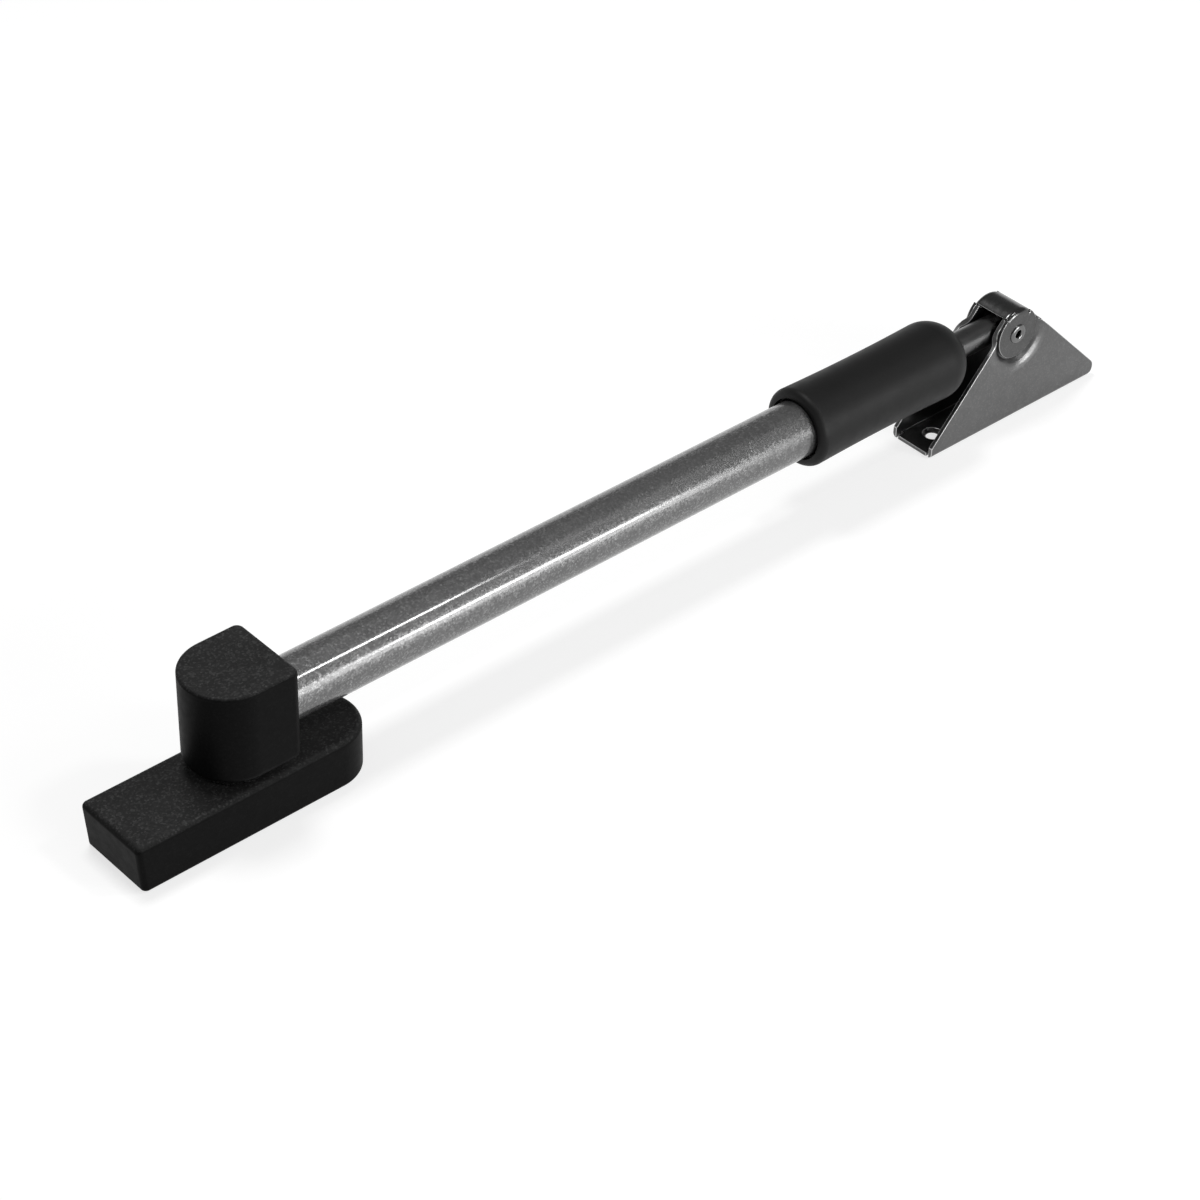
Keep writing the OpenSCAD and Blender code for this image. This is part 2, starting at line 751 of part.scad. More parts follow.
// Strip bent over the cheeks, with a round ear on each side that the rivet holds
module tie_saddle() {
    color("#5b5d60")
    difference() {
        union() {
            for (side = [0, 1]) mirror([0, side, 0])
                across_y(ear_d / 2, ear_d / 2, boss_out, ear_out);
            intersection() {
                translate([pin_x, 0, axis_h]) rotate([90, 0, 0]) rotate_extrude() saddle_section();
                wedge(strip_back, strip_front, 2 * ear_d);
            }
        }
        // Square the ears off where the strip bends into them
        difference() {
            wedge(strip_back, strip_front, 2 * ear_d);
            translate([pin_x, 0, axis_h]) rotate([90, 0, 0]) rotate_extrude() saddle_section();
        }
        across_y(rivet_d / 2 + push_gap, rivet_d / 2 + push_gap, -foot_w, foot_w);
    }
}

// Section of the saddle from the rivet's axis outwards: two ears and the strip between them
module saddle_section() {
    right_half(ear_d) difference() {
        rotate(90) translate([0, -ear_d / 2]) rounded_panel(2 * ear_out, ear_d, bend_r, bend_r);
        saddle_inside(0);
    }
}

// Section of the space inside the saddle, smaller by a gap below the strip
module saddle_inside(gap) {
    inner_bend = bend_r - strip_t;
    rotate(90) translate([0, gap - strip_in])
        rounded_panel(2 * boss_out, 2 * (strip_in - gap), inner_bend, inner_bend);
}

// Hollow rivet whose heads are rolled over into a round rim
module hinge_rivet() {
    r = rivet_d / 2;
    color("#a4a7aa")
    translate([pin_x, 0, axis_h]) rotate([-90, 0, 0])
        rotate_extrude() polygon(concat(
            rolled_rim(-1, 180, 0), [[r, -ear_out], [r, ear_out]], rolled_rim(1, 0, 180)));
}

// Points of a rolled rim from one angle to another, where 0 is its outside and 180 its bore
function rolled_rim(side, from, to) =
    let (crest = (rivet_head_d + rivet_bore) / 4, half = (rivet_head_d - rivet_bore) / 4, steps = 10)
    [for (i = [0:steps])
        let (a = from + (to - from) * i / steps)
            [crest + half * cos(a), side * (ear_out + rivet_head_h * sin(a))]];

base_housing();
threaded_inserts();
base_bush();
thrust_washer();
pivot_screw();
disc_spring();
swivel_block();
tube_plug();
outer_tube();
collet_bush();
clamp_core();
grip_sleeve();
rod_wiper();
guide_bush();
guide_clips();
inner_rod();
pivot_spacers();
hinge_bracket();
tie_saddle();
hinge_rivet();
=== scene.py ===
"""Looks of a telescopic window stay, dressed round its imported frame.

A black moulded foot carries a swivel block. A painted tube leaves the block, a steel rod slides in
it, and a rubber twist grip locks the rod. The rod ends in a folded steel bracket on a hollow rivet.
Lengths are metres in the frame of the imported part. A name that ends in _mm holds millimetres, and
MM turns them into metres.
"""

import logging
import math
from dataclasses import dataclass
from enum import Enum
from typing import Any

import bmesh
import bpy
from bpy.types import ID, Material, Mesh, Node, NodeSocket, NodeTree, Object, World
from mathutils import Matrix, Vector
from mathutils.kdtree import KDTree


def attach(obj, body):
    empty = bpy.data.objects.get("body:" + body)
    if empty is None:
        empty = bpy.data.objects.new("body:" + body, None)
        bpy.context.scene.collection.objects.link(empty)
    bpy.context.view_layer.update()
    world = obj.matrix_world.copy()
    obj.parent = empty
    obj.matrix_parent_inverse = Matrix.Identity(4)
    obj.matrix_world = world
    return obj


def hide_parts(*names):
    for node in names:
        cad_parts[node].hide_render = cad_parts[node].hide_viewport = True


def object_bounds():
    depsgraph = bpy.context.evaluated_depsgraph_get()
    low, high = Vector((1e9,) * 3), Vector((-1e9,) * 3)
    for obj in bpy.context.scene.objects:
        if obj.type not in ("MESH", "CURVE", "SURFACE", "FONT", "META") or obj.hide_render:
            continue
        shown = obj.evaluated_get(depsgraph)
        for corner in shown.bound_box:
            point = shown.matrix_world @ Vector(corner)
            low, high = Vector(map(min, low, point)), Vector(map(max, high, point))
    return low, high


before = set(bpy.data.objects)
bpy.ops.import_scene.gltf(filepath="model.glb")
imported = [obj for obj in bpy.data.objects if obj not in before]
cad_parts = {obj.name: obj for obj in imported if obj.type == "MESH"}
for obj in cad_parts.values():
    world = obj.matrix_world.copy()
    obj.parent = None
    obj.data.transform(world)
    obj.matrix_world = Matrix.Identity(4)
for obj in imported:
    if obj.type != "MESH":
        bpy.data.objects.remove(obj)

CAD_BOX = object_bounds()
MM = 0.001
AXIS_HEIGHT_MM = 27.6
PIN_X_MM = 265.8
# Attribute that marks the eased faces of a piece, which are painted lighter: partly wear, partly a
# painted highlight
EDGE_WEAR_AND_HIGHLIGHT = "edge_wear_and_highlight"
# Smooth faces that meet at more than this show an edge
SMOOTH_DEG = 32.0
# Most of a noise texture's values lie between these
NOISE_LOW, NOISE_HIGH = 0.3, 0.7
# Keeps a division by an edge's length safe
TINY = 1e-18
WHITE = "#ffffff"
log = logging.getLogger("window_stay")

Point = tuple[float, float, float]
Row = tuple[float, float, float]


def linear(hex_colour: str) -> tuple[float, float, float, float]:
    """Turn an sRGB hex colour into the linear values that a shader takes.

    Args:
        hex_colour: Six hex digits after a hash.

    Returns:
        Red, green, blue and an alpha of 1.
    """
    digits = hex_colour.lstrip("#")
    channels = (int(digits[i:i + 2], 16) / 255 for i in (0, 2, 4))
    return (*(c / 12.92 if c <= 0.04045 else ((c + 0.055) / 1.055) ** 2.4 for c in channels), 1.0)


def add_node(tree: NodeTree, kind: str, inputs: dict | None = None, **settings: Any) -> Node:
    """Add a node to a tree, with its settings and with what feeds it.

    Args:
        tree: The shader or geometry tree.
        kind: The node's type name.
        inputs: Values, sockets or nodes by input name or number. A node gives its first output.
        **settings: Properties of the node.

    Returns:
        The new node.
    """
    node = tree.nodes.new(kind)
    for name, value in settings.items():
        setattr(node, name, value)
    for key, value in (inputs or {}).items():
        source = value.outputs[0] if isinstance(value, Node) else value
        if isinstance(source, NodeSocket):
            tree.links.new(source, node.inputs[key])
        else:
            node.inputs[key].default_value = source
    return node


def bare_tree(owner: Material | World) -> NodeTree:
    """Give a material or a world a tree with no node in it.

    Args:
        owner: The material or the world.

    Returns:
        Its empty tree.
    """
    owner.use_nodes = True
    owner.node_tree.nodes.clear()
    return owner.node_tree


def add_object(name: str, data: ID) -> Object:
    """Add an object to the scene.

    Args:
        name: Name of the object.
        data: Its mesh, camera or light.

    Returns:
        The object, at the origin.
    """
    item = bpy.data.objects.new(name, data)
    bpy.context.scene.collection.objects.link(item)
    return item


def settle(holder: Object) -> Mesh:
    """Turn what an object's modifiers make into a plain mesh, and remove the object.

    Args:
        holder: The object with its modifiers.

    Returns:
        The plain mesh.
    """
    evaluated = holder.evaluated_get(bpy.context.evaluated_depsgraph_get())
    mesh = bpy.data.meshes.new_from_object(evaluated)
    bpy.data.objects.remove(holder)
    return mesh


def standing(place: Vector, right: Vector, up: Vector, back: Vector) -> Matrix:
    """Turn a camera or a light by its own axes, and put it in its place.

    Args:
        place: Where it stands.
        right: Direction of its X axis.
        up: Direction of its Y axis.
        back: Direction of its Z axis, which points away from what it faces.

    Returns:
        Its matrix.
    """
    return Matrix.Translation(place) @ Matrix((right, up, back)).transposed().to_4x4()


class Grain(Enum):
    """Direction in which a surface pattern is drawn out."""

    EVEN = (1.0, 1.0, 1.0)
    ROUND_X = (1.0, 0.05, 0.05)


@dataclass(frozen=True)
class Finish:
    """What every surface of the stay shares: a colour, a gloss and a fine relief.

    Attributes:
        name: Name of the material.
        colour: Base colour as sRGB hex.
        roughness: Middle value of the roughness.
        spread: How far the roughness wanders either way.
        metallic: 1 on bare metal, 0 on plastic and rubber.
        specular: Level of the reflection on plastic and rubber.
        grain_mm: Size of the relief's grain.
        relief_mm: Height of the relief.
        grain: Direction in which the relief is drawn out.
        mottle: How far the colour wanders, as a share of itself.
        mottle_mm: Size of the colour's patches.
        gloss_share: Size of the roughness's patches, as a share of the colour's.
        fleck_and_glint: How far single grains stand out in brightness, as a share of the colour;
            the rarest bright ones are painted glints.
        fleck_mm: Size of such a grain.
        rarity: How rare the bright grains are, which stand in as painted glints.
        painted_top_sheen: Colour of faces that look up, painted lighter as a painted sheen.
        painted_sheen_from: Upward part of a face's normal at which that painted sheen starts, and
            is full.
        edge_wear_and_highlight_colour: Colour of the eased edges, painted lighter partly as wear
            from handling or shearing and partly as a painted highlight.
    """

    name: str
    colour: str
    roughness: float
    spread: float = 0.04
    metallic: float = 0.0
    specular: float = 0.5
    grain_mm: float = 0.4
    relief_mm: float = 0.01
    grain: Grain = Grain.EVEN
    mottle: float = 0.1
    mottle_mm: float = 6.0
    gloss_share: float = 0.4
    fleck_and_glint: float = 0.0
    fleck_mm: float = 0.4
    rarity: float = 4.0
    painted_top_sheen: str = ""
    painted_sheen_from: tuple[float, float] = (0.35, 0.95)
    edge_wear_and_highlight_colour: str = ""

    def material(self) -> Material:
        """Build the material once, and give the same one afterwards."""
        return bpy.data.materials.get(self.name) or self._build()

    def _build(self) -> Material:
        """Build the material's nodes.

        Returns:
            The new material.
        """
        material = bpy.data.materials.new(self.name)
        tree = bare_tree(material)
        place = add_node(tree, "ShaderNodeTexCoord").outputs["Object"]
        shader = add_node(tree, "ShaderNodeBsdfPrincipled")
        self._colour(tree, place, shader)
        self._gloss(tree, place, shader)
        self._relief(tree, place, shader)
        self._extra(tree, place, shader)
        add_node(tree, "ShaderNodeOutputMaterial", {"Surface": shader})
        return material

    def _colour(self, tree: NodeTree, place: NodeSocket, shader: Node) -> None:
        """Give the shader its wandering colour: random flecks whose rarest are painted glints,
        faces that look up painted lighter as a painted sheen, and eased edges lighter as wear and a
        painted highlight.

        Args:
            tree: The material's tree.
            place: Object coordinates.
            shader: The shader.
        """
        patches = add_node(tree, "ShaderNodeTexNoise", {
            "Vector": place, "Scale": 1 / (self.mottle_mm * MM), "Detail": 4.0, "Roughness": 0.6})
        tone = add_node(tree, "ShaderNodeMapRange", {
            "Value": patches.outputs["Fac"], "From Min": NOISE_LOW, "From Max": NOISE_HIGH,
            "To Min": 1 - self.mottle, "To Max": 1 + self.mottle})
        if self.fleck_and_glint:
            cells = add_node(tree, "ShaderNodeTexVoronoi", {
                "Vector": place, "Scale": 1 / (self.fleck_mm * MM)})
            chance = add_node(tree, "ShaderNodeSeparateColor", {"Color": cells.outputs["Color"]})
            # Rare cells go far lighter than the rest: painted glints over a random grain tone
            rare = add_node(tree, "ShaderNodeMath", {0: chance, 1: self.rarity}, operation="POWER")
            grain_tone_and_glint = add_node(tree, "ShaderNodeMapRange", {
                "Value": rare, "To Min": 1 - self.fleck_and_glint / 2, "To Max": 1 + self.fleck_and_glint * 2})
            tone = add_node(tree, "ShaderNodeMath", {0: tone, 1: grain_tone_and_glint}, operation="MULTIPLY")
        base = add_node(tree, "ShaderNodeMix", {
            "Factor": 0.0, "A": linear(self.colour), "B": linear(self.painted_top_sheen or self.colour)},
            data_type="RGBA")
        # Faces that look up are painted lighter: a painted sheen that stands in for light from
        # above
        if self.painted_top_sheen:
            face = add_node(tree, "ShaderNodeNewGeometry").outputs["Normal"]
            upward = add_node(tree, "ShaderNodeSeparateXYZ", {"Vector": face}).outputs["Z"]
            painted_sheen = add_node(tree, "ShaderNodeMapRange", {
                "Value": upward, "From Min": self.painted_sheen_from[0], "From Max": self.painted_sheen_from[1]})
            tree.links.new(painted_sheen.outputs[0], base.inputs["Factor"])
        toned = add_node(tree, "ShaderNodeVectorMath", {0: base.outputs["Result"], "Scale": tone},
                         operation="SCALE")
        colour = toned.outputs[0]
        # Eased edges are painted lighter: partly wear, partly a painted highlight along the edge
        if self.edge_wear_and_highlight_colour:
            wear_and_highlight_mask = add_node(tree, "ShaderNodeAttribute", attribute_name=EDGE_WEAR_AND_HIGHLIGHT).outputs["Fac"]
            wear_and_highlight_share = add_node(tree, "ShaderNodeMath", {0: wear_and_highlight_mask, 1: tone}, operation="MULTIPLY",
                           use_clamp=True)
            mixed = add_node(tree, "ShaderNodeMix", {
                "Factor": wear_and_highlight_share, "A": colour, "B": linear(self.edge_wear_and_highlight_colour)}, data_type="RGBA")
            colour = mixed.outputs["Result"]
        tree.links.new(colour, shader.inputs["Base Color"])

    def _gloss(self, tree: NodeTree, place: NodeSocket, shader: Node) -> None:
        """Give the shader its metal, its reflection level and its wandering roughness.

        Args:
            tree: The material's tree.
            place: Object coordinates.
            shader: The shader.
        """
        shader.inputs["Metallic"].default_value = self.metallic
        shader.inputs["Specular IOR Level"].default_value = self.specular
        patches = add_node(tree, "ShaderNodeTexNoise", {
            "Vector": place, "Scale": 1 / (self.mottle_mm * self.gloss_share * MM), "Detail": 3.0})
        rough = add_node(tree, "ShaderNodeMapRange", {
            "Value": patches.outputs["Fac"], "From Min": NOISE_LOW, "From Max": NOISE_HIGH,
            "To Min": self.roughness - self.spread, "To Max": self.roughness + self.spread})
        tree.links.new(rough.outputs[0], shader.inputs["Roughness"])

    def _relief(self, tree: NodeTree, place: NodeSocket, shader: Node) -> None:
        """Give the shader its fine relief.

        Args:
            tree: The material's tree.
            place: Object coordinates.
            shader: The shader.
        """
        drawn = add_node(tree, "ShaderNodeMapping", {"Vector": place, "Scale": self.grain.value})
        grains = add_node(tree, "ShaderNodeTexNoise", {
            "Vector": drawn, "Scale": 1 / (self.grain_mm * MM), "Detail": 2.0, "Roughness": 0.55})
        bump = add_node(tree, "ShaderNodeBump", {
            "Height": grains.outputs["Fac"], "Distance": self.relief_mm * MM})
        tree.links.new(bump.outputs["Normal"], shader.inputs["Normal"])

    def _extra(self, tree: NodeTree, place: NodeSocket, shader: Node) -> None:
        """Leave room for what only one finish has."""


@dataclass(frozen=True)
class FlakePaint(Finish):
    """Baked metallic paint: flakes that catch the light one by one, below a clear coat.

    Attributes:
        tilt: How far a flake leans from the surface.
        coat: Weight of the clear coat.
        coat_roughness: Roughness of the clear coat.
    """

    tilt: float = 0.28
    coat: float = 0.9
    coat_roughness: float = 0.11

    def _extra(self, tree: NodeTree, place: NodeSocket, shader: Node) -> None:
        """Lean each flake its own way, and lay the clear coat over them.

        Args:
            tree: The material's tree.
            place: Object coordinates.
            shader: The shader.
        """
        flakes = add_node(tree, "ShaderNodeTexVoronoi", {
            "Vector": place, "Scale": 1 / (self.fleck_mm * MM)})
        # A flake's colour runs from 0 to 1 each way, so taking off a half lets it lean both ways
        lean = add_node(tree, "ShaderNodeVectorMath", {
            0: flakes.outputs["Color"], 1: (-0.5, -0.5, -0.5)}, operation="ADD")
        lean = add_node(tree, "ShaderNodeVectorMath", {0: lean, "Scale": self.tilt},
                        operation="SCALE")
        face = add_node(tree, "ShaderNodeNewGeometry").outputs["Normal"]
        leaning = add_node(tree, "ShaderNodeVectorMath", {0: face, 1: lean}, operation="ADD")
        leaning = add_node(tree, "ShaderNodeVectorMath", {0: leaning}, operation="NORMALIZE")
        tree.links.new(leaning.outputs[0], shader.inputs["Normal"])
        shader.inputs["Coat Weight"].default_value = self.coat
        shader.inputs["Coat Roughness"].default_value = self.coat_roughness


@dataclass(frozen=True)
class PressedSheet(Finish):
    """Sheet that is also drawn in softly round a press, beyond the press that its mesh shows.

    Attributes:
        press_mm: Place of the press's middle, along X and Z.
        inner_mm: Radius at which the soft draw starts.
        outer_mm: Radius at which it ends.
        draw_mm: How far the sheet is drawn in.
    """

    press_mm: tuple[float, float] = (PIN_X_MM, AXIS_HEIGHT_MM)
    inner_mm: float = 9.2
    outer_mm: float = 12.6
    draw_mm: float = 0.8

    def _extra(self, tree: NodeTree, place: NodeSocket, shader: Node) -> None:
        """Draw the sheet in round the press.

        Args:
            tree: The material's tree.
            place: Object coordinates.
            shader: The shader, whose normal already has the grain.
        """
        x, z = self.press_mm
        across = add_node(tree, "ShaderNodeVectorMath", {
            0: place, 1: (1.0, 0.0, 1.0), 2: (-x * MM, 0.0, -z * MM)}, operation="MULTIPLY_ADD")
        reach = add_node(tree, "ShaderNodeVectorMath", {0: across}, operation="LENGTH")
        rise = add_node(tree, "ShaderNodeMapRange", {
            "Value": reach.outputs["Value"], "From Min": self.inner_mm * MM,
            "From Max": self.outer_mm * MM}, interpolation_type="SMOOTHSTEP")
        grain = shader.inputs["Normal"].links[0].from_socket
        drawn = add_node(tree, "ShaderNodeBump", {
            "Height": rise, "Distance": self.draw_mm * MM, "Normal": grain})
        tree.links.new(drawn.outputs["Normal"], shader.inputs["Normal"])


# Glass-filled nylon from a spark-eroded mould: nearly black; its tops are painted lighter as a
# painted sheen, its rarest grains are painted glints, and its edges are lighter, partly as wear and
# partly as a painted highlight. The grain is near 0.2 mm, and is drawn at 0.45 mm so that it shows
MOULDED_NYLON = Finish(
    "moulded_nylon_spark_textured", "#070707", 0.5, specular=0.05, grain_mm=0.45, relief_mm=0.02,
    mottle=0.12, fleck_and_glint=0.45, fleck_mm=0.45, painted_top_sheen="#2c2c2c", edge_wear_and_highlight_colour="#161616")
# Soft rubber over a hard core: matt, a touch lighter than the nylon, with a fine dusty grain
GRIP_RUBBER = Finish(
    "moulded_rubber_matt", "#0f0f0f", 0.52, specular=0.2, grain_mm=0.3, relief_mm=0.008,
    mottle=0.06, mottle_mm=9.0, fleck_and_glint=0.1)
# Metallic stoving paint on aluminium tube: grey flakes under a thin clear coat. Real flakes are
# near 0.05 mm, and are drawn at 0.4 mm so that they show one by one. The rarest bright flakes in
# the colour are painted glints
TUBE_PAINT = FlakePaint(
    "metallic_stoving_paint", "#606060", 0.42, spread=0.03, metallic=0.85, mottle=0.05, fleck_and_glint=0.45)
# Steel bar, centreless ground and polished: fine rings round the bar
GROUND_STEEL = Finish(
    "ground_steel_bar", "#5a5a5a", 0.3, metallic=1.0, grain_mm=0.14, relief_mm=0.002,
    grain=Grain.ROUND_X, mottle=0.05)
# Cold-rolled sheet with satin zinc: a flat grey sheen, and sheared edges painted bright, partly as
# wear and partly as a painted highlight
ZINC_SHEET = PressedSheet(
    "satin_zinc_sheet", "#646464", 0.37, spread=0.05, metallic=1.0, grain_mm=0.6, relief_mm=0.003,
    mottle=0.07, mottle_mm=5.0, fleck_and_glint=0.1, edge_wear_and_highlight_colour="#c8c8c8")
# Thinner strip of the same steel with a closer polish: darker, with sharper reflections
# Its edges are painted lighter: partly wear, partly a painted highlight
ZINC_STRIP = Finish(
    "satin_zinc_strip", "#545454", 0.22, metallic=1.0, grain_mm=0.5, relief_mm=0.003, mottle=0.08,
    mottle_mm=4.0, fleck_and_glint=0.1, edge_wear_and_highlight_colour="#a8a8a8")
# Rolled rivet with bright zinc: burnished where the tool turned
BRIGHT_ZINC = Finish(
    "bright_zinc_rivet", "#707070", 0.22, metallic=1.0, grain_mm=0.3, relief_mm=0.003)
# Cold-headed screw with bright zinc: lighter, with a soft shine
SCREW_ZINC = Finish(
    "bright_zinc_screw", "#8e9092", 0.3, metallic=1.0, grain_mm=0.3, relief_mm=0.004)
# Hardened spring strip: dark grey with an oily sheen
SPRING_STEEL = Finish(
    "hardened_spring_steel", "#565758", 0.34, metallic=1.0, grain_mm=0.3, relief_mm=0.002)
# Free-cutting brass, turned: yellow, with fine tool marks
TURNED_BRASS = Finish(
    "turned_brass", "#b08d46", 0.32, metallic=1.0, grain_mm=0.15, relief_mm=0.002)
# Aluminium bar, turned: pale, with fine rings round the bar
TURNED_ALUMINIUM = Finish(
    "turned_aluminium", "#b9bbbd", 0.35, metallic=1.0, grain_mm=0.15, relief_mm=0.002,
    grain=Grain.ROUND_X)
# Unfilled nylon: milky, with a waxy sheen
NATURAL_NYLON = Finish("natural_nylon", "#d6d0c0", 0.42, mottle=0.03, relief_mm=0.004)
# Acetal for the washers: plain black and slightly waxy
BLACK_ACETAL = Finish(
    "black_acetal", "#0e0e0e", 0.45, specular=0.15, mottle=0.08, relief_mm=0.006)
# Glass-filled core of the grip: dark grey and dull
CORE_NYLON = Finish("grip_core_nylon", "#1c1c1d", 0.5, specular=0.25, mottle=0.08)


@dataclass
class Turning:
    """A body of revolution, which one Geometry Nodes tree turns from its outline.

    An outline's rows hold a place along the axis, a radius, and the share of the thread's depth
    there.

    Attributes:
        centre: Point from which the outline's places are measured.
        tilt_deg: Turn of the axis, which starts along X.
        sides: Number of faces round the axis.
        pitch_mm: Pitch of the thread.
        depth_mm: Depth of the thread.
        merge: Points closer than this, in metres, are one.
    """

    centre: Point = (0.0, 0.0, 0.0)
    tilt_deg: Point = (0.0, 0.0, 0.0)
    sides: int = 128
    pitch_mm: float = 1.0
    depth_mm: float = 0.0
    merge: float = 1e-7

    def _tree(self, finish: Finish) -> tuple[NodeTree, dict[str, str]]:
        """Build the tree that turns an outline.

        Args:
            finish: The finish that the tree sets.

        Returns:
            The tree, and the identifier of each of its named sizes.
        """
        tree = bpy.data.node_groups.new("turned_body", "GeometryNodeTree")
        sockets = tree.interface
        sockets.new_socket("Outline", in_out="INPUT", socket_type="NodeSocketGeometry")
        sizes = {"Sides": "Int", "Pitch": "Float", "Depth": "Float", "Centre": "Vector",
                 "Tilt": "Rotation"}
        names = {}
        for name, kind in sizes.items():
            size = sockets.new_socket(name, in_out="INPUT", socket_type=f"NodeSocket{kind}")
            names[name] = size.identifier
        sockets.new_socket("Body", in_out="OUTPUT", socket_type="NodeSocketGeometry")
        given = add_node(tree, "NodeGroupInput").outputs
        outline = given["Outline"]
        # A net with a column for each side and one more, which closes on the first
        rows = add_node(tree, "GeometryNodeAttributeDomainSize", {"Geometry": outline})
        columns = add_node(tree, "ShaderNodeMath", {0: given["Sides"], 1: 1.0}, operation="ADD")
        net = add_node(tree, "GeometryNodeMeshGrid", {"Vertices X": columns, "Vertices Y": rows})
        index = add_node(tree, "GeometryNodeInputIndex")
        row = add_node(tree, "ShaderNodeMath", {0: index, 1: rows}, operation="MODULO")
        column = add_node(tree, "ShaderNodeMath", {0: index, 1: row}, operation="SUBTRACT")
        column = add_node(tree, "ShaderNodeMath", {0: column, 1: rows}, operation="DIVIDE")
        turn = add_node(tree, "ShaderNodeMath", {0: column, 1: given["Sides"]},
                        operation="DIVIDE")
        spots = add_node(tree, "GeometryNodeInputPosition")
        sample = add_node(tree, "GeometryNodeSampleIndex", {
            "Geometry": outline, "Value": spots, "Index": row}, data_type="FLOAT_VECTOR")
        place, radius, cut = add_node(tree, "ShaderNodeSeparateXYZ", {"Vector": sample}).outputs
        # The thread moves the surface in and out as it runs along and round
        phase = add_node(tree, "ShaderNodeMath", {0: place, 1: given["Pitch"]},
                         operation="DIVIDE")
        phase = add_node(tree, "ShaderNodeMath", {0: phase, 1: turn}, operation="SUBTRACT")
        wave = add_node(tree, "ShaderNodeMath", {0: phase, 1: 0.5}, operation="PINGPONG")
        wave = add_node(tree, "ShaderNodeMath", {0: wave, 1: given["Depth"]},
                        operation="MULTIPLY")
        radius = add_node(tree, "ShaderNodeMath", {0: wave, 1: cut, 2: radius},
                          operation="MULTIPLY_ADD")
        angle = add_node(tree, "ShaderNodeMath", {0: turn, 1: math.tau}, operation="MULTIPLY")
        across = add_node(tree, "ShaderNodeMath", {0: angle}, operation="COSINE")
        across = add_node(tree, "ShaderNodeMath", {0: across, 1: radius}, operation="MULTIPLY")
        up = add_node(tree, "ShaderNodeMath", {0: angle}, operation="SINE")
        up = add_node(tree, "ShaderNodeMath", {0: up, 1: radius}, operation="MULTIPLY")
        spot = add_node(tree, "ShaderNodeCombineXYZ", {"X": place, "Y": across, "Z": up})
        body = add_node(tree, "GeometryNodeSetPosition", {"Geometry": net, "Position": spot})
        body = add_node(tree, "GeometryNodeMergeByDistance", {
            "Geometry": body, "Distance": self.merge})
        body = add_node(tree, "GeometryNodeTransform", {
            "Geometry": body, "Translation": given["Centre"], "Rotation": given["Tilt"]})
        body = add_node(tree, "GeometryNodeRealizeInstances", {"Geometry": body})
        body = add_node(tree, "GeometryNodeSetMaterial", {
            "Geometry": body, "Material": finish.material()})
        add_node(tree, "NodeGroupOutput", {"Body": body})
        return tree, names

    def mesh(self, name: str, outline: list[Row], finish: Finish) -> Mesh:
        """Turn an outline into a closed mesh.

        Args:
            name: Name of the mesh.
            outline: Rows of the closed outline in millimetres, without the first one again.
            finish: Its finish.

        Returns:
            The mesh, smooth where the outline is smooth.
        """
        points = [(x * MM, radius * MM, cut) for x, radius, cut in outline + outline[:1]]
        sketch = bpy.data.meshes.new(name + "_outline")
        sketch.from_pydata(points, [], [])
        holder = add_object(name + "_outline", sketch)
        tree, names = self._tree(finish)
        modifier = holder.modifiers.new("turned", "NODES")
        modifier.node_group = tree
        values = {"Sides": self.sides, "Pitch": self.pitch_mm * MM,
                  "Depth": 2 * self.depth_mm * MM, "Centre": self.centre,
                  "Tilt": tuple(math.radians(angle) for angle in self.tilt_deg)}
        for key, value in values.items():
            modifier[names[key]] = value
        mesh = settle(holder)
        mesh.name = name
        form = bmesh.new()
        form.from_mesh(mesh)
        bmesh.ops.recalc_face_normals(form, faces=form.faces)
        form.to_mesh(mesh)
        form.free()
        mesh.shade_smooth()
        mesh.set_sharp_from_angle(angle=math.radians(SMOOTH_DEG))
        return mesh


def arc(along: float, out: float, radius: float, start_deg: float, end_deg: float,
        steps: int) -> list[Row]:
    """Lay out an arc of an outline.

    Args:
        along: Place of the arc's centre along the axis.
        out: Distance of the arc's centre from the axis.
        radius: Radius of the arc.
        start_deg: Angle that it starts from, where 0 points outwards and 90 along the axis.
        end_deg: Angle that it ends at.
        steps: Number of steps.

    Returns:
        The rows of the arc, both ends among them.
    """
    rows = []
    for i in range(steps + 1):
        angle = math.radians(start_deg + (end_deg - start_deg) * i / steps)
        rows.append((along + radius * math.sin(angle), out + radius * math.cos(angle), 0.0))
    return rows


